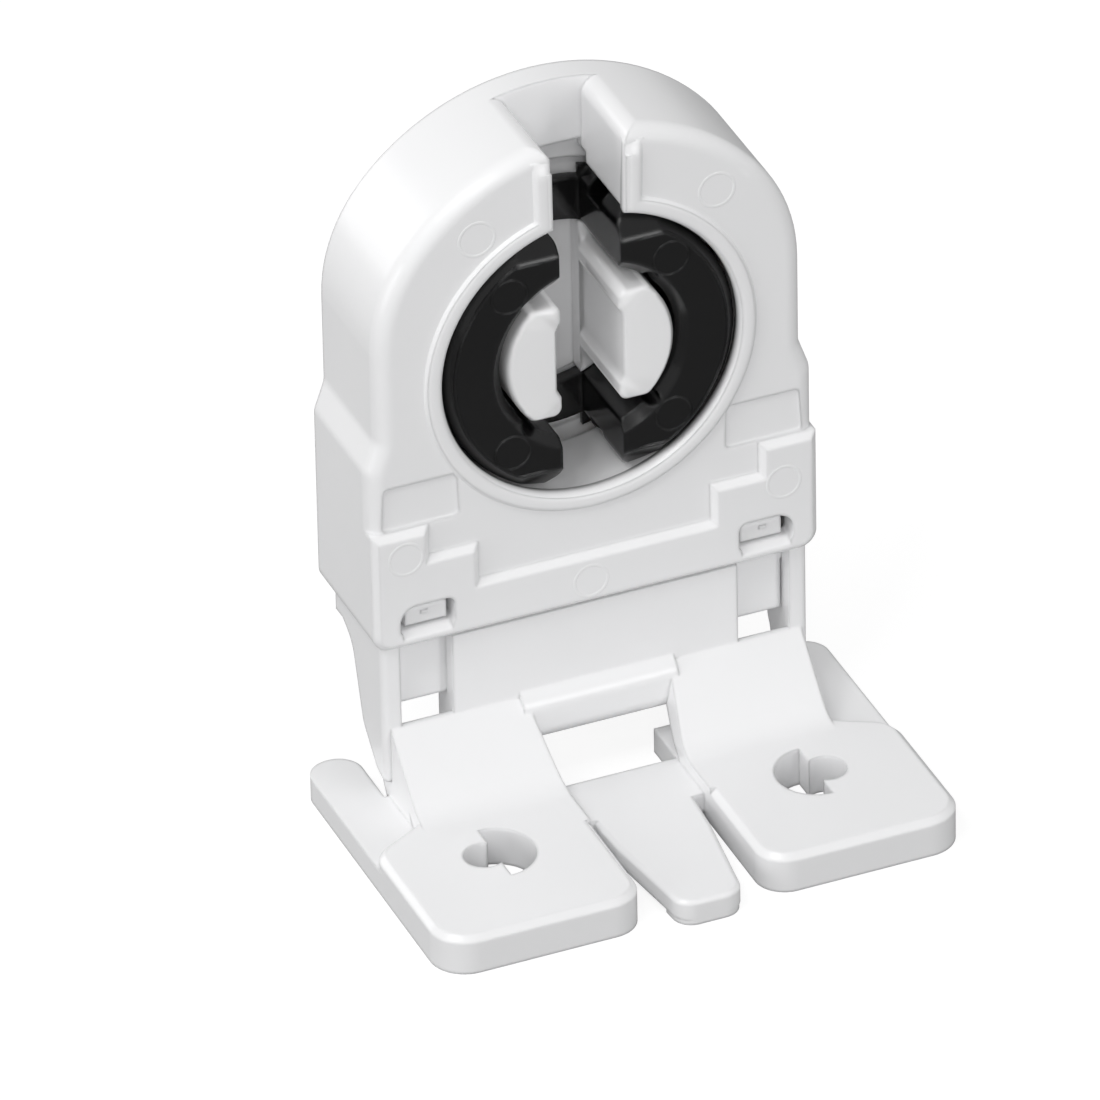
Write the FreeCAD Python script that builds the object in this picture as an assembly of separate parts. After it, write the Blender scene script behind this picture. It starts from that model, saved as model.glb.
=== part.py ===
import FreeCAD, Part
import math
import os

# Rotary lamp holder for fluorescent tubes on a clip-in foot, in millimetres.
# X runs to the right, Y runs from the front to the back, Z runs up.
# The origin lies under the middle of the whole part, on the plane of the foot.

# Overall sizes
overall_height = 40.0
overall_width = 30.0
pads_to_back = 22.0
tongue_lead = 0.7
front_y = -(pads_to_back + tongue_lead) / 2.0
pads_front_y = front_y + tongue_lead
back_y = pads_front_y + pads_to_back

# Shares by which the sizes read off the photo follow the overall ones
tall = overall_height / 40.0
wide = overall_width / 30.0
deep = pads_to_back / 22.0

# Housing
housing_depth = 7.4 * deep
face_y = back_y - housing_depth
housing_bottom = 11.15 * tall
lower_half_width = 12.75 * wide
arch_half_width = 12.15 * wide
shoulder_low = 22.1 * tall
shoulder_high = 23.8 * tall
bottom_corner = 1.0
shoulder_round = 1.2
wall = 1.2
front_wall = 1.3
front_round = 0.9
bead_rise = 0.22
bead_width = 0.75

# Three-centred arch: its rise, the side arcs and the flatter arc over the top
arch_rise = 10.9 * tall
arch_z = overall_height - arch_rise
arch_side_radius = 0.9 * min(arch_rise, arch_half_width)
arch_across = arch_half_width - arch_side_radius
arch_top_radius = ((arch_across ** 2 + arch_rise ** 2 - arch_side_radius ** 2)
                   / (2.0 * (arch_rise - arch_side_radius)))
arch_drop = arch_top_radius - arch_rise
arch_lean = math.atan2(arch_drop, arch_across)

# Raised lower panel of the front and its steps
panel_rise = 0.45
panel_y = face_y - panel_rise
panel_high = 18.4 * tall
panel_middle = 16.55 * tall
panel_low = 14.3 * tall
panel_outer_x = 9.45 * wide
panel_inner_x = 6.65 * wide
panel_bevel = 0.35

# Rotor, its bore and the fixed core, all round one axis
rotor_z = 26.45 * tall
bore_radius = 8.6 * wide
sleeve_wall = 0.9
rotor_gap = 0.3
rotor_radius = bore_radius - rotor_gap
rotor_front_y = face_y - 0.15
rotor_bevel = 0.55
cheek_inner_radius = 5.05 * wide
cheek_half_slot = 1.75 * wide
ring_radius = 7.5 * wide
collar_lap = 0.35
collar_radius = bore_radius + collar_lap
collar_room = 0.3
ring_front_y = back_y - 1.9
cover_front_y = back_y - 1.15
end_gap = 0.1
running_gap = 0.06
pin_circle_radius = 6.35 * wide
pin_radius = 1.175 * wide
core_radius = 4.75 * wide
post_flat_x = 1.9 * wide
post_ear_x = 1.65 * wide
post_half_height = 3.42 * wide
core_peg_radius = 2.0
seat_radius = 8.4 * wide
seat_depth = 0.3

# Lamp entry slot in the top of the housing
slot_half_low = 2.03 * wide
slot_half_high = 2.12 * wide
slot_back_y = back_y - 1.6
slot_back_low = rotor_z + 9.55 * wide
slot_lip_round = 0.9
guide_wall = 1.2

# Windows in the lower panel and the tabs behind them
window_inner_x = 8.15 * wide
window_outer_x = 11.3 * wide
window_low = 12.05 * tall
window_high = 13.75 * tall
sill_drop = 0.4
sill_depth = 0.5

# Contacts
leaf_thickness = 0.4
leaf_width = 1.3
leaf_y0 = face_y + 2.9
leaf_y1 = leaf_y0 + leaf_width
leaf_room = 0.2
leaf_reach = 3.4 * wide
plate_z = housing_bottom + 3.85

# Wire entries in the rear cover
entry_columns = (5.0 * wide, 8.6 * wide)
entry_radius = 1.15
entry_z = housing_bottom + 5.45
release_z = housing_bottom + 1.75
release_half_width = 0.7
release_height = 1.1

# Foot
pad_top = 2.3 * tall
pad_inner_x = 3.45 * wide
pad_outer_x = overall_width / 2.0
pad_back_y = 0.9 * deep
pad_corner_y = -1.1 * deep
pad_bevel = 0.35
hole_x = 9.25 * wide
hole_y = -3.85 * deep
hole_radius = 2.25
hole_lobe_radius = 1.12
wing_top = 1.5 * tall
wing_back_y = 8.9 * deep
finger_inner_x = 12.1 * wide
finger_round = 1.4
notch_y = 4.45 * deep
ramp_outer_x = 11.85 * wide
ramp_lean = 0.7 * wide
ramp_foot_y = 0.35 * deep
ramp_back_y = 1.0 * deep
ramp_top = 6.05 * tall
ramp_thickness = 1.2
ramp_corner = 0.9
arm_inner_x = 11.2 * wide
arm_outer_x = 12.25 * wide
centre_half_width = 8.2 * wide
rail_low = 3.3 * tall
rail_high = 6.5 * tall
rail_front_y = face_y - 0.7
plate_thickness = 1.15
plate_y0 = face_y + 1.0
plate_y1 = plate_y0 + plate_thickness
plate_low = 6.9 * tall
arm_back_y = back_y - 1.05
floor_thickness = 1.15
tab_rise = 0.85
tab_gap_inner = 0.3
tab_gap_outer = 0.5
pip_size = 0.4
web_under = 0.35
web_back_y = 1.4 * deep
tongue_root_y = -2.3 * deep
tongue_half_root = 2.9 * wide
tongue_half_middle = 2.7 * wide
tongue_half_tip = 1.8 * wide
tongue_middle_y = -4.8 * deep


def vec(x, y, z):
    return FreeCAD.Vector(x, y, z)


def in_xz(u, v):
    return vec(u, 0.0, v)


def in_yz(u, v):
    return vec(0.0, u, v)


def in_xy(u, v):
    return vec(u, v, 0.0)


def rounded_wire(corners, place):
    """Closed wire through corners (u, v, radius); a radius above zero becomes a true arc."""
    count = len(corners)
    starts = []
    ends = []
    middles = []
    for i in range(count):
        u, v, radius = corners[i]
        here = place(u, v)
        before = place(*corners[i - 1][:2])
        after = place(*corners[(i + 1) % count][:2])
        if radius <= 0.0:
            starts.append(here)
            ends.append(here)
            middles.append(None)
            continue
        back = (before - here).normalize()
        ahead = (after - here).normalize()
        half = back.getAngle(ahead) / 2.0
        reach = radius / math.tan(half)
        centre = here + (back + ahead).normalize() * (radius / math.sin(half))
        starts.append(here + back * reach)
        ends.append(here + ahead * reach)
        middles.append(centre + (here - centre).normalize() * radius)
    edges = []
    for i in range(count):
        if middles[i] is not None:
            edges.append(Part.Arc(starts[i], middles[i], ends[i]).toShape())
        following = starts[(i + 1) % count]
        if ends[i].distanceToPoint(following) > 1e-6:
            edges.append(Part.makeLine(ends[i], following))
    return Part.Wire(edges)


def prism_xz(corners, y0, y1):
    face = Part.Face(rounded_wire(corners, in_xz))
    face.translate(vec(0, y0, 0))
    return face.extrude(vec(0, y1 - y0, 0))


def prism_yz(corners, x0, x1):
    face = Part.Face(rounded_wire(corners, in_yz))
    face.translate(vec(x0, 0, 0))
    return face.extrude(vec(x1 - x0, 0, 0))


def prism_xy(corners, z0, z1):
    face = Part.Face(rounded_wire(corners, in_xy))
    face.translate(vec(0, 0, z0))
    return face.extrude(vec(0, 0, z1 - z0))


def block(x0, x1, y0, y1, z0, z1):
    return Part.makeBox(x1 - x0, y1 - y0, z1 - z0, vec(x0, y0, z0))


def rod(radius, y0, y1, x=0.0, z=rotor_z):
    return Part.makeCylinder(radius, y1 - y0, vec(x, y0, z), vec(0, 1, 0))


def mirrored(shape):
    return shape.mirror(vec(0, 0, 0), vec(1, 0, 0))


def both_sides(shape):
    return [shape, mirrored(shape)]


def edges_where(shape, test):
    """Edges whose two ends and middle all pass the test."""
    chosen = []
    for edge in shape.Edges:
        middle = edge.valueAt((edge.FirstParameter + edge.LastParameter) / 2.0)
        points = [vertex.Point for vertex in edge.Vertexes] + [middle]
        if all(test(point) for point in points):
            chosen.append(edge)
    return chosen


def strip_xz(path, thickness, y0, y1):
    """Bent sheet strip: the path is its middle line in XZ, mitred at each bend."""
    points = [vec(x, 0.0, z) for x, z in path]
    left = []
    right = []
    for i in range(len(points)):
        into = (points[i] - points[max(i - 1, 0)])
        out = (points[min(i + 1, len(points) - 1)] - points[i])
        into = out if into.Length < 1e-9 else into
        out = into if out.Length < 1e-9 else out
        into = vec(into.x, 0, into.z).normalize()
        out = vec(out.x, 0, out.z).normalize()
        side = vec(-(into.z + out.z), 0.0, into.x + out.x).normalize()
        square = vec(-into.z, 0.0, into.x)
        reach = thickness / 2.0 / side.dot(square)
        left.append(points[i] + side * reach)
        right.append(points[i] - side * reach)
    corners = [(p.x, p.z, 0.0) for p in left + right[::-1]]
    return prism_xz(corners, y0, y1)


# Housing

def arch_solid(inset, y0, y1):
    """Three tangent arcs seen from the front, set in by a wall and closed along the bottom."""
    side = arch_side_radius - inset

    def side_point(angle, sign):
        return in_xz(sign * (arch_across + side * math.cos(angle)), arch_z + side * math.sin(angle))

    crown = in_xz(0.0, overall_height - inset)
    right = Part.Arc(side_point(0.0, 1), side_point(arch_lean / 2.0, 1), side_point(arch_lean, 1))
    top = Part.Arc(side_point(arch_lean, 1), crown, side_point(arch_lean, -1))
    left = Part.Arc(side_point(arch_lean, -1), side_point(arch_lean / 2.0, -1), side_point(0.0, -1))
    base = Part.makeLine(side_point(0.0, -1), side_point(0.0, 1))
    face = Part.Face(Part.Wire([right.toShape(), top.toShape(), left.toShape(), base]))
    face.translate(vec(0, y0, 0))
    return face.extrude(vec(0, y1 - y0, 0))


def housing_solid(inset, y0, y1, bottom):
    """Lower box with its shoulders under the arch, all set in by a wall."""
    lower = lower_half_width - inset
    upper = arch_half_width - inset
    corner = bottom_corner if inset == 0.0 else 0.0
    outline = [(-lower, bottom, corner), (lower, bottom, corner),
               (lower, shoulder_low, shoulder_round), (upper, shoulder_high, shoulder_round),
               (upper, arch_z, 0.0), (-upper, arch_z, 0.0),
               (-upper, shoulder_high, shoulder_round), (-lower, shoulder_low, shoulder_round)]
    box = prism_xz(outline, y0, y1)
    return box.fuse(arch_solid(inset, y0, y1)).removeSplitter()


def housing_shell():
    outer = housing_solid(0.0, face_y, back_y, housing_bottom)
    front = edges_where(outer, lambda p: abs(p.y - face_y) < 1e-4)
    return outer.makeFillet(front_round, front)


def lower_panel():
    """Raised lower part of the front with its stepped and bevelled upper edge."""
    corners = [(-lower_half_width, housing_bottom, bottom_corner),
               (lower_half_width, housing_bottom, bottom_corner),
               (lower_half_width, panel_high, 0.0), (panel_outer_x, panel_high, 0.0),
               (panel_outer_x, panel_middle, 0.0), (panel_inner_x, panel_middle, 0.0),
               (panel_inner_x, panel_low, 0.0), (-panel_inner_x, panel_low, 0.0),
               (-panel_inner_x, panel_middle, 0.0), (-panel_outer_x, panel_middle, 0.0),
               (-panel_outer_x, panel_high, 0.0), (-lower_half_width, panel_high, 0.0)]
    panel = prism_xz(corners, panel_y, face_y + front_round)
    front = edges_where(panel, lambda p: abs(p.y - panel_y) < 1e-4)
    return panel.makeChamfer(panel_bevel, front)


def slot_profile():
    """Entry slot seen from the front: walls that lean apart and round over into the arch."""
    top_z = overall_height - 0.17
    lip_x = slot_half_high + 2.0
    lip_z = top_z - 0.42
    above = overall_height + 2.0
    return [(-slot_half_low, rotor_z, 0.0), (slot_half_low, rotor_z, 0.0),
            (slot_half_high, top_z, slot_lip_round), (lip_x, lip_z, 0.0), (lip_x, above, 0.0),
            (-lip_x, above, 0.0), (-lip_x, lip_z, 0.0), (-slot_half_high, top_z, slot_lip_round)]


def entry_slot():
    """Slot through the front, and the room under its back wall."""
    slot = prism_xz(slot_profile(), panel_y - 1.0, slot_back_y)
    under = block(-slot_half_low, slot_half_low, slot_back_y - 0.5, cover_front_y,
                  rotor_z, slot_back_low)
    return slot.fuse(under)


def rim_bead():
    """Low bead round the bore and up both sides of the entry slot."""
    y0 = face_y - bead_rise
    y1 = face_y + front_wall / 2.0
    low = slot_half_low + bead_width
    high = slot_half_high + bead_width
    top = overall_height - 1.8
    ring = rod(bore_radius + bead_width, y0, y1)
    sides = prism_xz([(-low, rotor_z, 0.0), (low, rotor_z, 0.0),
                      (high, top, 0.3), (-high, top, 0.3)], y0, y1)
    return ring.fuse(sides).removeSplitter()


def window_cut():
    """Window of the lower panel: large radius at the outer top corner, bevelled sill."""
    corners = [(window_inner_x, window_low, 0.25), (window_outer_x, window_low, 0.25),
               (window_outer_x, window_high, 1.0), (window_inner_x, window_high, 0.5)]
    hole = prism_xz(corners, panel_y - 1.0, panel_y + front_wall + 0.7)
    sill = prism_yz([(panel_y - 0.1, window_low - sill_drop, 0.0),
                     (panel_y - 0.1, window_low + 0.3, 0.0),
                     (panel_y + sill_depth, window_low + 0.3, 0.0),
                     (panel_y + sill_depth, window_low, 0.0)],
                    window_inner_x + 0.15, window_outer_x - 0.15)
    return hole.fuse(sill)


def label_recess():
    """Shallow bare recess beside the bore."""
    low = 18.45 * tall
    high = 21.1 * tall
    corners = [(7.6 * wide, low, 0.3), (12.05 * wide, low, 0.3),
               (11.9 * wide, high, 0.3), (7.7 * wide, high, 0.3)]
    return prism_xz(corners, face_y - 0.5, face_y + 0.15)


def leaf_way():
    """Way through the sleeve for a contact leaf."""
    return block(bore_radius - 1.0, bore_radius + sleeve_wall + 0.3, leaf_y0 - leaf_room,
                 leaf_y1 + leaf_room, rotor_z - leaf_reach, rotor_z + leaf_reach)


def slot_guides():
    """Walls of the entry slot behind the front, with the slot's back wall."""
    half = slot_half_high + guide_wall
    block_up = block(-half, half, face_y + 0.5, slot_back_y + 0.45, rotor_z + 6.0, overall_height)
    return block_up.common(housing_solid(wall / 2.0, face_y, back_y, housing_bottom))


def front_housing():
    body = housing_shell().fuse([lower_panel(), rim_bead()])
    hollow = housing_solid(wall, face_y + front_wall, back_y + 1.0, housing_bottom - 1.0)
    low_hollow = block(-lower_half_width + wall, lower_half_width - wall,
                       panel_y + front_wall, face_y + front_wall + 0.1,
                       housing_bottom - 1.0, panel_high - 1.0)
    shell = body.cut([hollow, low_hollow])
    sleeve = rod(bore_radius + sleeve_wall, face_y + 0.5, ring_front_y - collar_room)
    shell = shell.fuse([sleeve, slot_guides()])
    cuts = [rod(bore_radius, panel_y - 1.0, back_y + 1.0),
            rod(collar_radius + collar_room, ring_front_y - collar_room, back_y + 1.0),
            entry_slot()]
    for cut in (window_cut(), label_recess(), leaf_way()):
        cuts += both_sides(cut)
    return shell.cut(cuts).removeSplitter()


# Rear cover

def rear_cover():
    """Plate let into the back of the housing, with wire entries and a seat for the core."""
    plate = housing_solid(wall + 0.05, cover_front_y, back_y, housing_bottom)
    edge = edges_where(plate, lambda p: abs(p.y - back_y) < 1e-4)
    plate = plate.makeChamfer(0.25, edge)
    y0 = cover_front_y - 1.0
    y1 = back_y + 1.0
    cuts = [rod(core_peg_radius + 0.05, y0, y1), rod(seat_radius, y0, cover_front_y + seat_depth)]
    for x in entry_columns:
        cuts += both_sides(rod(entry_radius, y0, y1, x, entry_z))
        cuts += both_sides(block(x - release_half_width, x + release_half_width, y0, y1,
                                 release_z, release_z + release_height))
    return plate.cut(cuts).removeSplitter()


# Rotor

def round_rotor(points):
    """Corners (x, z, radius) given from the rotor's axis in photographed size."""
    return [(x * wide, rotor_z + z * wide, r * wide) for x, z, r in points]


def half_turned(shape):
    """The same shape turned half way round the rotor's axis."""
    turned = shape.copy()
    turned.rotate(vec(0, 0, rotor_z), vec(0, 1, 0), 180)
    return turned


def cheek_end():
    """Room at one end of a cheek: flared tip, straight flank, then a slope down to the core."""
    flank = cheek_half_slot / wide
    mouth = [(0.0, 4.1, 0.0), (3.25, 3.4, 0.0), (flank, 4.8, 0.5), (flank, 7.3, 0.9),
             (2.7, 8.3, 0.0), (2.7, 9.0, 0.0), (0.0, 9.0, 0.0)]
    return prism_xz(round_rotor(mouth), rotor_front_y - 1.0, ring_front_y)


def cheek_notch():
    """Small round notch where a cheek's end meets its inner arc."""
    return rod(0.42 * wide, rotor_front_y - 1.0, ring_front_y, 3.5 * wide, rotor_z + 3.75 * wide)


def tip_slope():
    """Slope on the front of the cheek ends, falling back towards the rim."""
    start = rotor_z + 6.6 * wide
    end = rotor_z + 9.0 * wide
    ahead = rotor_front_y - 1.0
    corners = [(rotor_front_y, start, 0.0), (ahead, start, 0.0), (ahead, end, 0.0),
               (rotor_front_y + 1.9, end, 0.0)]
    return prism_yz(corners, -bore_radius, bore_radius)


def rotor():
    """Black rotor: two bevelled cheeks with a slot between them on a rear ring and collar."""
    drum = rod(rotor_radius, rotor_front_y, ring_front_y + 0.3)
    rim = edges_where(drum, lambda p: abs(p.y - rotor_front_y) < 1e-4)
    drum = drum.makeChamfer(rotor_bevel, rim)
    collar_half_slot = cheek_half_slot + 0.8
    collar = rod(collar_radius, ring_front_y, cover_front_y - end_gap)
    collar = collar.cut(block(-collar_half_slot, collar_half_slot, ring_front_y - 1.0, back_y,
                              rotor_z - 2.0 * bore_radius, rotor_z + 2.0 * bore_radius))
    drum = drum.cut(block(-cheek_half_slot, cheek_half_slot, ring_front_y, back_y,
                          rotor_z - 2.0 * bore_radius, rotor_z + 2.0 * bore_radius))
    ring = rod(ring_radius, ring_front_y, cover_front_y - end_gap)
    body = drum.fuse([collar, ring])
    bore = rod(cheek_inner_radius, rotor_front_y - 1.0, back_y)
    mouth = Part.makeCone(cheek_inner_radius + rotor_bevel, cheek_inner_radius, rotor_bevel,
                          vec(0, rotor_front_y, rotor_z), vec(0, 1, 0))
    groove = rod(rotor_radius + 0.5, leaf_y0 - leaf_room, leaf_y1 + leaf_room)
    groove = groove.cut(rod(pin_circle_radius + 0.8, leaf_y0 - 1.0, leaf_y1 + 1.0))
    cuts = [bore, mouth, groove]
    for cut in both_sides(cheek_end()) + both_sides(cheek_notch()) + [tip_slope()]:
        cuts += [cut, half_turned(cut)]
    return body.cut(cuts).removeSplitter()


# Core

def core_post():
    """One D-shaped post: round outer side, flat inner side with a small ear at each end."""
    half_height = post_half_height / wide
    ear = post_ear_x / wide
    flat = post_flat_x / wide
    beyond = core_radius / wide + 1.0
    bar = [(ear, -half_height, 0.5), (beyond, -half_height, 0.0), (beyond, half_height, 0.0),
           (ear, half_height, 0.5), (ear, half_height - 1.1, 0.4), (flat, half_height - 1.6, 0.0),
           (flat, -half_height + 1.6, 0.0), (ear, -half_height + 1.1, 0.4)]
    y0 = face_y - 0.05
    post = prism_xz(round_rotor(bar), y0, ring_front_y).common(rod(core_radius, y0, ring_front_y))
    post = post.removeSplitter()

    def outer_corner(p):
        reach = math.hypot(p.x, p.z - rotor_z)
        at_end = abs(abs(p.z - rotor_z) - post_half_height) < 1e-3
        return at_end and abs(reach - core_radius) < 1e-3

    post = post.makeFillet(0.6, edges_where(post, outer_corner))
    front = edges_where(post, lambda p: abs(p.y - y0) < 1e-4)
    return post.makeChamfer(0.2, front)


def core():
    hub_front_y = ring_front_y - 0.1
    hub = rod(cheek_inner_radius - running_gap, hub_front_y, cover_front_y + seat_depth)
    peg = rod(core_peg_radius, cover_front_y, back_y - 0.25)
    body = hub.fuse([peg] + both_sides(core_post()))
    return body.removeSplitter()


# Contacts

def contact():
    """Bronze leaf that bears on a lamp pin, with a terminal plate and two clamp tongues."""
    half = leaf_thickness / 2.0
    apex_x = pin_circle_radius + pin_radius - 0.05 + half
    stem_x = arch_half_width - wall - 0.3 - half
    tip_x = stem_x - 0.4 * wide
    crook_x = (apex_x + stem_x) / 2.0 - 0.4 * wide
    low = rotor_z - 4.2 * wide
    leaf = strip_xz([(stem_x, plate_z), (stem_x, low), (crook_x, rotor_z - 1.9 * wide),
                     (apex_x, rotor_z - 0.6 * wide), (apex_x, rotor_z + 0.6 * wide),
                     (crook_x, rotor_z + 1.9 * wide), (tip_x, rotor_z + 3.7 * wide)],
                    leaf_thickness, leaf_y0, leaf_y1)
    inner_x = entry_columns[0] - 1.8 * wide
    plate = block(inner_x, stem_x + half, leaf_y0 - 0.4, cover_front_y, plate_z - half, plate_z + half)
    body = leaf.fuse(plate)
    for x in entry_columns:
        tongue = strip_xz([(x - 1.3, plate_z), (x - 0.9, plate_z - 0.9), (x - 0.2, plate_z - 2.1)],
                          0.3, leaf_y0 + 0.4, cover_front_y - 0.7)
        body = body.fuse(tongue)
    return body.removeSplitter()


# Foot

def pad():
    """Thick front pad of the foot."""
    corners = [(pad_inner_x, pads_front_y, 1.7), (pad_outer_x, pads_front_y, 2.0),
               (pad_outer_x, pad_corner_y, 1.8), (ramp_outer_x - 0.6, pad_back_y, 2.0),
               (pad_inner_x, pad_back_y, 0.0)]
    body = prism_xy(corners, 0.0, pad_top)
    top = edges_where(body, lambda p: abs(p.z - pad_top) < 1e-4 and p.y < pad_back_y - 0.05)
    return body.makeChamfer(pad_bevel, top)


def screw_hole():
    """Keyed hole: half disc towards the middle, a small round lobe towards the outside."""
    low = -1.0
    height = pad_top + 4.0
    half_disc = Part.makeCylinder(hole_radius, height, vec(hole_x, hole_y, low))
    half_disc = half_disc.cut(block(hole_x, hole_x + 3.0, hole_y - 3.0, hole_y + 3.0, low, height))
    lobe = Part.makeCylinder(hole_lobe_radius, height, vec(hole_x + 0.6, hole_y, low))
    return half_disc.fuse(lobe).removeSplitter()


def wing():
    """Thin base under the ramp that reaches back as a rounded finger."""
    base = block(pad_inner_x, pad_outer_x, pad_corner_y - 3.0, notch_y, 0.0, wing_top)
    start = pad_corner_y - 2.0
    finger = prism_xy([(finger_inner_x, start, 0.0), (pad_outer_x, start, 0.0),
                       (pad_outer_x, wing_back_y, finger_round),
                       (finger_inner_x, wing_back_y, finger_round)], 0.0, wing_top)
    return base.fuse(finger).removeSplitter()


def ramp():
    """Sloping plate from the pad up to the upright part, leaning away from the middle."""
    under = 0.3
    corners = [(pad_corner_y - 2.0, under, 0.0), (pad_corner_y - 2.0, pad_top, 0.0),
               (ramp_foot_y, pad_top, 2.5), (face_y, ramp_top, 0.0), (plate_y1, ramp_top, 0.0),
               (plate_y1, ramp_top - ramp_thickness, 0.0),
               (face_y + 0.6, ramp_top - ramp_thickness, 1.0), (ramp_back_y, wing_top, 0.0),
               (ramp_back_y, under, 0.0)]
    body = prism_yz(corners, pad_inner_x, ramp_outer_x)
    front_view = [(pad_inner_x, 0.0, 0.0), (ramp_outer_x, 0.0, 0.0), (ramp_outer_x, ramp_top, 0.0),
                  (pad_inner_x + ramp_lean, ramp_top, ramp_corner), (pad_inner_x, pad_top, 0.0)]
    return body.common(prism_xz(front_view, pads_front_y, back_y))


def arm():
    """Side arm with its curved back edge, and the rib that carries it down to the wing."""
    knee_y = arm_back_y - 3.5
    root_z = wing_top + 1.2
    corners = [(face_y, root_z, 0.0), (face_y, housing_bottom, 0.0),
               (arm_back_y, housing_bottom, 0.0), (arm_back_y, housing_bottom - 0.6, 0.5),
               (arm_back_y - 2.2, housing_bottom - 1.9, 2.0), (knee_y, pad_top + 2.6, 1.6),
               (notch_y + 0.6, root_z + 0.4, 0.5)]
    body = prism_yz(corners, arm_inner_x, arm_outer_x)

    def front_edge(p):
        return abs(p.y - face_y) < 1e-4 and abs(p.x - arm_outer_x) < 1e-4

    body = body.makeFillet(0.35, edges_where(body, front_edge))
    rib = prism_yz([(ramp_back_y, wing_top - 0.3, 0.0), (face_y, ramp_top - 0.8, 0.0),
                    (knee_y, pad_top + 2.9, 0.0), (knee_y - 0.5, pad_top + 1.3, 1.0),
                    (notch_y + 0.2, wing_top - 0.3, 0.0), (notch_y - 0.2, wing_top - 0.3, 0.0)],
                   arm_inner_x, ramp_outer_x)
    return body.fuse(rib)


def centre_panel():
    """Upright centre panel with the rounded rail along its lower edge."""
    panel = block(-centre_half_width, centre_half_width, face_y, plate_y1,
                  ramp_top - 1.5, housing_bottom - 0.2)
    half = pad_inner_x + 1.0
    rail = prism_yz([(rail_front_y, rail_low, 0.9), (rail_front_y, rail_high - 0.75, 1.0),
                     (face_y + 0.15, rail_high, 0.0), (plate_y1, rail_high, 0.0),
                     (plate_y1, rail_low, 0.4)], -half, half)
    return panel.fuse(rail)


def arm_windows():
    """Openings between the centre panel and the arms, open to the back over the ramps."""
    return block(centre_half_width, arm_inner_x, face_y + 0.3, plate_y1 + 1.0,
                 ramp_top - 2.4, plate_low)


def snap_plate():
    """Upper plate that slides up inside the housing, with a tab for each window."""
    top = window_high + 0.9
    half = arm_inner_x - 0.1
    plate = prism_xz([(-half, plate_low, 0.0), (half, plate_low, 0.0), (half, top, 0.6),
                      (-half, top, 0.6)], plate_y0, plate_y1)
    tab_front = plate_y0 - tab_rise
    low = window_low + 0.12
    tab = prism_yz([(tab_front, low, 0.15), (tab_front, window_high - 0.45, 0.3),
                    (plate_y0 + 0.1, window_high - 0.25, 0.0), (plate_y0 + 0.1, low, 0.0)],
                   window_inner_x + tab_gap_inner, window_outer_x - tab_gap_outer)
    pip_x = (window_inner_x + window_outer_x) / 2.0
    pip_z = (window_low + window_high) / 2.0
    pip = block(pip_x - pip_size / 2.0, pip_x + pip_size / 2.0, tab_front - 0.08, plate_y0,
                pip_z - pip_size / 4.0, pip_z + pip_size / 4.0)
    return plate.fuse(both_sides(tab.fuse(pip)))


def web_and_tongue():
    """Thin web between the pads that runs forward as a springy latch tongue."""
    half = pad_inner_x + 0.5
    web = block(-half, half, tongue_root_y, web_back_y, web_under, wing_top)
    start = tongue_root_y + 0.5
    tongue = prism_xy([(-tongue_half_root, start, 0.0), (tongue_half_root, start, 0.0),
                       (tongue_half_middle, tongue_middle_y, 1.5), (tongue_half_tip, front_y, 1.1),
                       (-tongue_half_tip, front_y, 1.1), (-tongue_half_middle, tongue_middle_y, 1.5)],
                      web_under, wing_top)
    top = edges_where(tongue, lambda p: abs(p.z - wing_top) < 1e-4 and p.y < tongue_root_y)
    tongue = tongue.makeChamfer(0.2, top)
    nub_back = front_y + 2.0
    nub = prism_xy([(-tongue_half_tip, front_y, 1.1), (tongue_half_tip, front_y, 1.1),
                    (tongue_half_tip + 0.15, nub_back, 0.3), (-tongue_half_tip - 0.15, nub_back, 0.3)],
                   0.0, wing_top - 0.4)
    return web.fuse([tongue, nub])


def foot_bracket():
    """One moulding: pads, wings, ramps, arms, upright panel, snap tabs and latch tongue."""
    pieces = []
    for piece in (pad(), wing(), ramp(), arm()):
        pieces += both_sides(piece)
    floor = block(-arm_outer_x, arm_outer_x, plate_y0, arm_back_y,
                  housing_bottom - floor_thickness, housing_bottom)
    neck = block(-centre_half_width, centre_half_width, plate_y0, plate_y1, ramp_top, housing_bottom)
    pieces += [centre_panel(), snap_plate(), web_and_tongue(), floor, neck]
    body = pieces[0].fuse(pieces[1:])
    return body.cut(both_sides(screw_hole()) + both_sides(arm_windows())).removeSplitter()


os.makedirs("parts", exist_ok=True)
right_contact = contact()
nodes = {
    "front_housing": front_housing(),
    "rear_cover": rear_cover(),
    "rotor": rotor(),
    "core": core(),
    "contact_right": right_contact,
    "contact_left": mirrored(right_contact),
    "foot_bracket": foot_bracket(),
}
for name, shape in nodes.items():
    shape.exportStep("parts/" + name + ".step")
    print(name, len(shape.Solids), shape.isValid(), round(shape.Volume, 2))
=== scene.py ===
import bmesh
import bpy
import math
import numpy as np
from mathutils import Matrix, Vector


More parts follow.
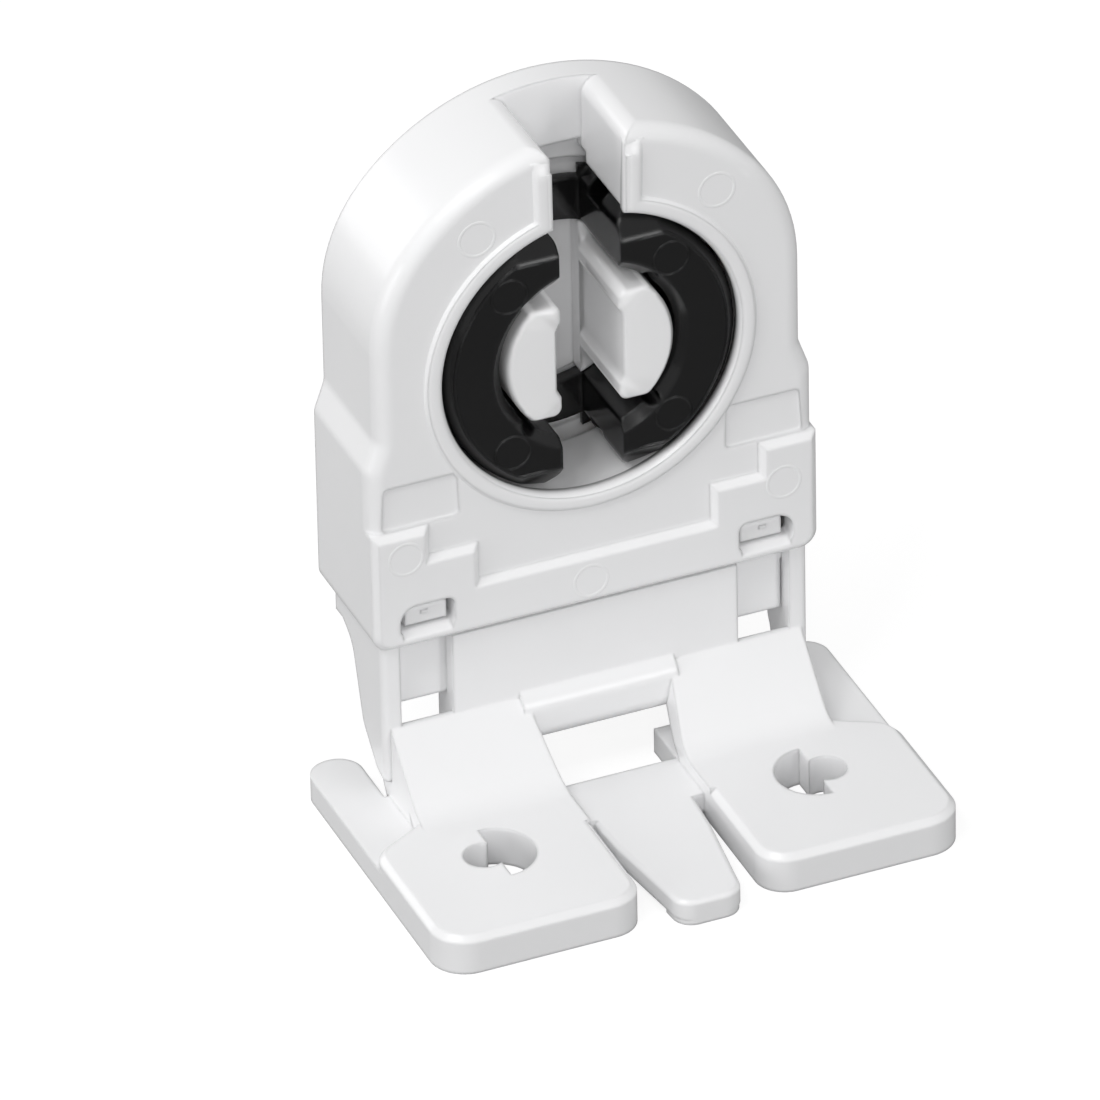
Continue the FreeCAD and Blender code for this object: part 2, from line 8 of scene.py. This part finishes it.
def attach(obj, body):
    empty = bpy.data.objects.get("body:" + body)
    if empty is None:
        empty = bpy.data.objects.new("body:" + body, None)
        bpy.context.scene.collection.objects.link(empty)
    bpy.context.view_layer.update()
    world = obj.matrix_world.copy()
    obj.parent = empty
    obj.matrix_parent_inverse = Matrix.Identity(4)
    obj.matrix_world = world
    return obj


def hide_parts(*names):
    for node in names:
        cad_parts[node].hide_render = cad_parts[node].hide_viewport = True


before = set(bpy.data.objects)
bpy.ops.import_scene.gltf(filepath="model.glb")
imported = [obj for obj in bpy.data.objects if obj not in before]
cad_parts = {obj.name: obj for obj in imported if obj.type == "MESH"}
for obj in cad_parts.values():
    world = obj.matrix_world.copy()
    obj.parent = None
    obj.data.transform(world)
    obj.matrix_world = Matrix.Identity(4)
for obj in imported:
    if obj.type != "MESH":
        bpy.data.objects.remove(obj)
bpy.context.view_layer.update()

MM = 0.001
ROTOR_Z = 26.45


# Shader writing

class Number:
    """Wraps a shader socket; + - * / with numbers or other sockets add Math nodes."""

    def __init__(self, finish, socket):
        self.finish = finish
        self.socket = socket

    def maths(self, operation, *values):
        return self.finish.node("ShaderNodeMath", {"operation": operation}, dict(enumerate(values)))

    def __add__(self, other):
        return self.maths("ADD", self, other)

    def __radd__(self, other):
        return self.maths("ADD", other, self)

    def __sub__(self, other):
        return self.maths("SUBTRACT", self, other)

    def __rsub__(self, other):
        return self.maths("SUBTRACT", other, self)

    def __mul__(self, other):
        return self.maths("MULTIPLY", self, other)

    def __rmul__(self, other):
        return self.maths("MULTIPLY", other, self)

    def __truediv__(self, other):
        return self.maths("DIVIDE", self, other)

    def span(self, low, high):
        """0 below low, 1 above high, smooth in between."""
        settings = {"interpolation_type": "SMOOTHSTEP", "clamp": True}
        return self.finish.node("ShaderNodeMapRange", settings,
                                {"Value": self, "From Min": low, "From Max": high})


class Finish:
    """One named material with a Principled shader."""

    def __init__(self, name, **constants):
        self.material = bpy.data.materials.new(name)
        self.material.use_nodes = True
        self.tree = self.material.node_tree
        self.shader = self.tree.nodes["Principled BSDF"]
        for socket, value in constants.items():
            self.shader.inputs[socket.replace("_", " ")].default_value = value
        self.place = self.node("ShaderNodeTexCoord", {}, {}, "Object")

    def node(self, kind, settings, values, output=0):
        """Adds a node, sets its settings, then links or sets its sockets."""
        made = self.tree.nodes.new(kind)
        for key, value in settings.items():
            setattr(made, key, value)
        for key, value in values.items():
            if isinstance(value, Number):
                self.tree.links.new(value.socket, made.inputs[key])
            else:
                made.inputs[key].default_value = value
        return Number(self, made.outputs[output])

    def noise(self, scale, detail=2.0, roughness=0.5):
        return self.node("ShaderNodeTexNoise", {}, {"Vector": self.place, "Scale": scale,
                                                    "Detail": detail, "Roughness": roughness})

    def mix(self, factor, low, high):
        """Colour that runs from low to high with the factor."""
        ends = [c if isinstance(c, Number) else (*c, 1.0) for c in (low, high)]
        colour_a, colour_b, colour_result = 6, 7, 2
        return self.node("ShaderNodeMix", {"data_type": "RGBA"},
                         {"Factor": factor, colour_a: ends[0], colour_b: ends[1]}, colour_result)

    def soft_edges(self, radius):
        """Shading normal rounded over the edges of the mesh; the radius is in millimetres."""
        return self.node("ShaderNodeBevel", {"samples": 4}, {"Radius": radius * MM})

    def bump(self, height, distance, strength=1.0, under=None):
        """Normal bumped by the height over the distance in millimetres."""
        values = {"Height": height, "Distance": distance * MM, "Strength": strength}
        if under is not None:
            values["Normal"] = under
        return self.node("ShaderNodeBump", {}, values)

    def drive(self, **links):
        for socket, value in links.items():
            self.tree.links.new(value.socket, self.shader.inputs[socket.replace("_", " ")])
        return self


# Materials

def moulded_white(name, shade, roughness, edge):
    """Glossy moulded plastic: faint flow shading, a fine ripple and rare dark specks.

    The roughness varies by a few hundredths about its value; edge is the radius in
    millimetres over which corners are shaded round.
    """
    dirt_shade, dirt_strength, flow_dimming = (0.40, 0.38, 0.35), 0.3, 0.985
    finish = Finish(name, Specular_IOR_Level=0.45)
    flow = finish.noise(180.0, 3.0)
    grain = finish.noise(2600.0, 4.0, 0.6)
    ripple = finish.noise(420.0, 2.0)
    speck = finish.node("ShaderNodeTexVoronoi", {}, {"Vector": finish.place, "Scale": 420.0})
    rare = finish.noise(95.0, 0.0).span(0.63, 0.66)
    dirt = (1 - speck.span(0.02, 0.045)) * rare * dirt_strength
    pale = finish.mix(flow, tuple(v * flow_dimming for v in shade), shade)
    colour = finish.mix(dirt, pale, dirt_shade)
    surface = finish.bump(ripple, 0.02, 0.2, finish.soft_edges(edge))
    surface = finish.bump(grain, 0.004, 0.35, surface)
    return finish.drive(Base_Color=colour, Roughness=flow * 0.08 + (roughness - 0.04), Normal=surface)


def moulded_black(name):
    """Polished black plastic with a mottled sheen."""
    finish = Finish(name, Specular_IOR_Level=0.5)
    flow = finish.noise(260.0, 3.0)
    grain = finish.noise(3200.0, 4.0, 0.6)
    ripple = finish.noise(600.0, 2.0)
    colour = finish.mix(flow, (0.002, 0.002, 0.0022), (0.004, 0.004, 0.0043))
    surface = finish.bump(ripple, 0.02, 0.35, finish.soft_edges(0.32))
    surface = finish.bump(grain, 0.005, 0.5, surface)
    return finish.drive(Base_Color=colour, Roughness=flow * 0.12 + 0.10, Normal=surface)


def rolled_bronze(name):
    """Bare bronze with fine lines along the height, left by rolling."""
    finish = Finish(name, Metallic=1.0)
    streak = finish.node("ShaderNodeMapping", {}, {"Vector": finish.place, "Scale": (900.0, 900.0, 60.0)})
    lines = finish.node("ShaderNodeTexNoise", {}, {"Vector": streak, "Scale": 1.0, "Detail": 3.0})
    colour = finish.mix(lines, (0.74, 0.50, 0.30), (0.86, 0.62, 0.38))
    return finish.drive(Base_Color=colour, Roughness=lines * 0.15 + 0.22,
                        Normal=finish.bump(lines, 0.005, 0.5))


WHITE = (0.885, 0.886, 0.893)
white_housing = moulded_white("housing_plastic", WHITE, 0.24, 0.30)
white_cover = moulded_white("cover_plastic", (0.88, 0.881, 0.888), 0.30, 0.20)
white_core = moulded_white("core_plastic", (0.885, 0.886, 0.892), 0.22, 0.22)
white_foot = moulded_white("foot_plastic", WHITE, 0.24, 0.28)
white_ring = moulded_white("ring_plastic", WHITE, 0.24, 0.03)
black_rotor = moulded_black("rotor_plastic")
bronze = rolled_bronze("contact_bronze")

FINISH_OF = {"front_housing": white_housing, "rear_cover": white_cover, "rotor": black_rotor,
             "core": white_core, "contact_right": bronze, "contact_left": bronze,
             "foot_bracket": white_foot}
for node, finish in FINISH_OF.items():
    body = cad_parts[node]
    body.data.materials.clear()
    body.data.materials.append(finish.material)


# Small forms on the mouldings, in millimetres

def smooth_step(t):
    """S-shaped rise from 0 to 1: three times t squared less two times t cubed."""
    return t * t * (3.0 - 2.0 * t)


def grid_mesh(name, points, finish, body, closed_rows):
    """Closed skin over a grid of points (rows, columns, 3) in millimetres.

    Each row is a closed ring of points. The rows are joined end to end, or the first and
    the last are capped where they stay open.
    """
    rows, columns = points.shape[:2]
    index = np.arange(rows * columns).reshape(rows, columns)
    last = rows if closed_rows else rows - 1
    here, onward = index[:last], np.roll(index, -1, axis=0)[:last]
    quads = np.stack([here, np.roll(here, -1, axis=1), np.roll(onward, -1, axis=1), onward], axis=-1)
    faces = quads.reshape(-1, 4).tolist()
    if not closed_rows:
        faces += [index[0].tolist(), index[-1][::-1].tolist()]
    mesh = bpy.data.meshes.new(name)
    mesh.from_pydata((points.reshape(-1, 3) * MM).tolist(), [], faces)
    net = bmesh.new()
    net.from_mesh(mesh)
    bmesh.ops.recalc_face_normals(net, faces=net.faces)
    net.to_mesh(mesh)
    net.free()
    mesh.shade_smooth()
    mesh.materials.append(finish.material)
    made = bpy.data.objects.new(name, mesh)
    bpy.context.scene.collection.objects.link(made)
    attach(made, body)


def lip_section():
    """Section of the soft bead: a quarter ellipse up from the bore, a flat crown, then a
    smooth S-shaped fall to the face. Returns distance from the opening and depth y."""
    inner, root_y = 0.06, 4.55
    rise_width, rise_y, crown_y = 0.40, 4.15, 3.71
    fall_start, fall_width, fall_depth = 0.79, 0.36, 0.27
    rise = np.linspace(0.0, math.pi / 2, 9)
    fall = np.linspace(0.0, 1.0, 12)
    away = np.concatenate([[inner], rise_width * (1.0 - np.cos(rise)),
                           fall_start + fall_width * fall, [fall_start + fall_width]])
    depth = np.concatenate([[root_y], rise_y - (rise_y - crown_y) * np.sin(rise),
                            crown_y + fall_depth * smooth_step(fall), [root_y]])
    return away, depth


def bore_lip():
    """Soft bead round the bore and up both sides of the entry slot.

    The opening is a circle joined by two upright lines; each line of the grid is that outline
    moved out by one distance, mitred where line and circle meet. Towards the slot's top the
    bead sinks to the face along an S-shaped curve.
    """
    top_z, radius, half_gap, flare = 38.98, 8.42, 2.0, 0.02
    sunk_y, fade_length = 3.97, 0.95
    away, depth = lip_section()
    reach = radius + away
    corner = np.arcsin((half_gap + away) / reach)
    climb = np.linspace(0.0, 1.0, 24)[:, None]
    corner_z = ROTOR_Z + reach * np.cos(corner)
    side_z = top_z + (corner_z - top_z) * climb
    side_x = half_gap + away + flare * (side_z - corner_z)
    turn = corner + (2.0 * math.pi - 2.0 * corner) * np.linspace(0.0, 1.0, 180)[1:-1, None]
    ring_x, ring_z = reach * np.sin(turn), ROTOR_Z + reach * np.cos(turn)
    x = np.concatenate([side_x, ring_x, -side_x[::-1]])
    z = np.concatenate([side_z, ring_z, side_z[::-1]])
    fade = smooth_step(np.clip((top_z - z) / fade_length, 0.0, 1.0))
    y = sunk_y + (depth - sunk_y) * np.where(depth < sunk_y, fade, 1.0)
    grid_mesh("bore_lip", np.stack([x, y, z], axis=-1), white_housing, "holder", False)


def pin_rings(name, places, finish, body):
    """Fine raised rings left by ejector pins, at the places (x, y, z, radius).

    Each is a flat half ellipse above the face and a foot sunk in it, carried round a circle.
    """
    half_width, height, sunk = 0.09, 0.015, 0.1
    round_way = np.linspace(0.0, 2.0 * math.pi, 64, endpoint=False)[:, None]
    section = np.linspace(0.0, math.pi, 9)
    across = np.concatenate([half_width * np.cos(section), [-half_width, half_width]])
    lift = np.concatenate([height * np.sin(section), [-sunk, -sunk]])
    for number, (x, y, z, radius) in enumerate(places, 1):
        out = radius + across
        ring = np.stack([x + out * np.sin(round_way), y - lift + 0.0 * round_way,
                         z + out * np.cos(round_way)], axis=-1)
        grid_mesh(f"{name}_{number}", ring, finish, body, True)


def merged_copy(node, name):
    """Copy of a node's mesh with its loose triangles joined."""
    join_distance = 0.002
    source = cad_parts[node]
    made = source.copy()
    made.data = source.data.copy()
    made.name = name
    bpy.context.scene.collection.objects.link(made)
    net = bmesh.new()
    net.from_mesh(made.data)
    bmesh.ops.remove_doubles(net, verts=net.verts, dist=join_distance * MM)
    net.to_mesh(made.data)
    net.free()
    return made


def core_with_channel():
    """The core with the gap between its posts sunk as one channel, down to the cover's seat.

    A box is cut from a joined copy of the core. Edges that turn by less than the sharp angle
    are shaded smooth, and flat faces keep their own direction.
    """
    box_size, box_middle = Vector((3.3, 2.0, 12.0)), Vector((0.0, 9.35, ROTOR_Z))
    sharp_angle = math.radians(28.0)
    piece = merged_copy("core", "core_with_channel")
    channel = bpy.data.meshes.new("channel")
    net = bmesh.new()
    bmesh.ops.create_cube(net, size=1.0)
    bmesh.ops.scale(net, vec=box_size * MM, verts=net.verts)
    bmesh.ops.translate(net, vec=box_middle * MM, verts=net.verts)
    net.to_mesh(channel)
    net.free()
    cutter = bpy.data.objects.new("channel", channel)
    bpy.context.scene.collection.objects.link(cutter)
    cut = piece.modifiers.new("cut", "BOOLEAN")
    cut.operation, cut.solver, cut.object = "DIFFERENCE", "EXACT", cutter
    bpy.context.view_layer.update()
    shape = bpy.data.meshes.new_from_object(piece.evaluated_get(bpy.context.evaluated_depsgraph_get()))
    piece.modifiers.clear()
    piece.data = shape
    bpy.data.objects.remove(cutter)
    shape.shade_smooth()
    shape.set_sharp_from_angle(angle=sharp_angle)
    level = piece.modifiers.new("level", "WEIGHTED_NORMAL")
    level.keep_sharp, level.weight = True, 100
    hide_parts("core")


def cheek_edge(name, side):
    """Fine round ridge along the inner line of a cheek's front bevel; side is 1 or -1 in x.

    The path is a short level line, the arc of the bevel and a second level line; a circle is
    carried along it, its two axes the path's own sideways direction and the way forward. It
    thins to a quarter over the first and the last five points.
    """
    bevel_radius, level, tip_x, middle_y, ridge = 7.75, 6.45, 2.1, 3.87, 0.11
    taper_points, thinnest = 5.0, 0.25
    start = math.asin(math.sqrt(bevel_radius ** 2 - level ** 2) / bevel_radius)
    turn = np.linspace(start, math.pi - start, 120)
    arc = np.stack([bevel_radius * np.sin(turn), bevel_radius * np.cos(turn)], axis=-1)
    lead = np.linspace(tip_x, arc[0, 0], 16)[:-1]
    above = np.stack([lead, np.full_like(lead, level)], axis=-1)
    path = np.concatenate([above, arc, above[::-1] * (1.0, -1.0)])
    along = np.gradient(path, axis=0)
    along /= np.linalg.norm(along, axis=1, keepdims=True)
    sideways = np.stack([along[:, 1], -along[:, 0]], axis=-1)
    step = np.arange(len(path))
    taper = np.clip(np.minimum(step, step[::-1]) / taper_points, thinnest, 1.0)[:, None]
    around = np.linspace(0.0, 2.0 * math.pi, 12, endpoint=False)
    spread = ridge * taper * np.cos(around)
    x = side * (path[:, :1] + sideways[:, :1] * spread)
    z = ROTOR_Z + path[:, 1:] + sideways[:, 1:] * spread
    y = middle_y - ridge * taper * np.sin(around)
    grid_mesh(name, np.stack([x, y, z], axis=-1), black_rotor, "turning_rotor", False)


HOUSING_RINGS = [(-6.3, 3.95, 35.2, 1.0), (7.3, 3.95, 34.7, 1.0), (-10.9, 3.5, 16.8, 0.95),
                 (10.75, 3.5, 15.8, 0.95), (-0.4, 3.5, 12.6, 0.95)]
ROTOR_RINGS = [(x, 3.8, ROTOR_Z + z, 1.0) for x in (-4.6, 4.6) for z in (-4.85, 4.85)]

bore_lip()
pin_rings("housing_pin_ring", HOUSING_RINGS, white_ring, "holder")
pin_rings("rotor_pin_ring", ROTOR_RINGS, black_rotor, "turning_rotor")
cheek_edge("cheek_edge_right", 1.0)
cheek_edge("cheek_edge_left", -1.0)
core_with_channel()


# Stage, lights and camera

def build_stage():
    """Pale floor that takes the shadow. Its glow, seen by the camera alone, makes it white."""
    half = 0.6
    mesh = bpy.data.meshes.new("floor")
    mesh.from_pydata([(-half, -half, 0), (half, -half, 0), (half, half, 0), (-half, half, 0)],
                     [], [(0, 1, 2, 3)])
    floor = bpy.data.objects.new("floor", mesh)
    bpy.context.scene.collection.objects.link(floor)
    paint = Finish("floor_paint", Roughness=0.9, Specular_IOR_Level=0.1,
                   Base_Color=(0.28, 0.28, 0.28, 1.0), Emission_Strength=0.80)
    glow = paint.mix(paint.node("ShaderNodeLightPath", {}, {}, "Is Camera Ray"),
                     (0.0, 0.0, 0.0), (1.0, 1.0, 1.0))
    paint.drive(Emission_Color=glow)
    mesh.materials.append(paint.material)


def build_world():
    """White for the camera, and a softer white that lights the part from all round."""
    fill_strength, camera_strength = 0.54, 1.0
    world = bpy.data.worlds.new("studio_world")
    bpy.context.scene.world = world
    world.use_nodes = True
    tree = world.node_tree
    back = tree.nodes["Background"]
    back.inputs["Color"].default_value = (1.0, 1.0, 1.0, 1.0)
    path = tree.nodes.new("ShaderNodeLightPath")
    strength = tree.nodes.new("ShaderNodeMapRange")
    strength.inputs["To Min"].default_value = fill_strength
    strength.inputs["To Max"].default_value = camera_strength
    tree.links.new(path.outputs["Is Camera Ray"], strength.inputs["Value"])
    tree.links.new(strength.outputs[0], back.inputs["Strength"])


def soft_box(name, place, aim, size, watts):
    """Area lamp at place, turned to look at aim; lengths in millimetres."""
    data = bpy.data.lights.new(name, "AREA")
    data.shape = "RECTANGLE"
    data.size, data.size_y = size[0] * MM, size[1] * MM
    data.energy = watts
    lamp = bpy.data.objects.new(name, data)
    bpy.context.scene.collection.objects.link(lamp)
    spot = Vector(place) * MM
    way = (Vector(aim) * MM - spot).normalized()
    lamp.matrix_world = Matrix.Translation(spot) @ way.to_track_quat("-Z", "Y").to_matrix().to_4x4()


def build_camera():
    """Camera of the photograph: azimuth, elevation, roll, distance, aim point and lens.

    The aim point is moved off the middle of the picture by the two slides.
    """
    azimuth, elevation, roll = math.radians(22.473), math.radians(33.441), math.radians(1.1405)
    target = Vector((0.0, 3.15, 20.0))
    distance, slide_right, slide_down = 840.77, 2.56, -4.4752
    lens_px, photo_px, sensor = 16000.0, 1100.0, 36.0
    back = Vector((-math.sin(azimuth) * math.cos(elevation), -math.cos(azimuth) * math.cos(elevation),
                   math.sin(elevation)))
    level_right = (-back).cross(Vector((0, 0, 1))).normalized()
    level_down = back.cross(level_right).normalized() * -1.0
    right = level_right * math.cos(roll) + level_down * math.sin(roll)
    down = level_down * math.cos(roll) - level_right * math.sin(roll)
    place = (target - right * slide_right - down * slide_down + back * distance) * MM
    data = bpy.data.cameras.new("camera")
    data.sensor_width = sensor
    data.lens = sensor * lens_px / photo_px
    data.clip_start, data.clip_end = 0.05, 10.0
    camera = bpy.data.objects.new("camera", data)
    bpy.context.scene.collection.objects.link(camera)
    turn = Matrix((right, -down, back)).transposed().to_4x4()
    camera.matrix_world = Matrix.Translation(place) @ turn
    bpy.context.scene.camera = camera


LOW_AIM, ROTOR_AIM = (0, 0, 20), (0, 0, 24)
LAMPS = [("key_lamp", (-230, -90, 345), LOW_AIM, (150, 150), 0.43),
         ("key_glint", (-150, -150, 345), LOW_AIM, (24, 24), 0.09),
         ("front_lamp", (-110, -320, 250), LOW_AIM, (120, 120), 0.22),
         ("front_strip", (140, -385, 110), ROTOR_AIM, (60, 200), 0.26),
         ("back_fill", (-190, 370, 90), LOW_AIM, (200, 200), 0.30),
         ("side_fill", (-400, -60, 60), LOW_AIM, (160, 160), 0.29)]

build_stage()
build_world()
for lamp in LAMPS:
    soft_box(*lamp)
build_camera()
bpy.context.scene.view_settings.view_transform = "Standard"
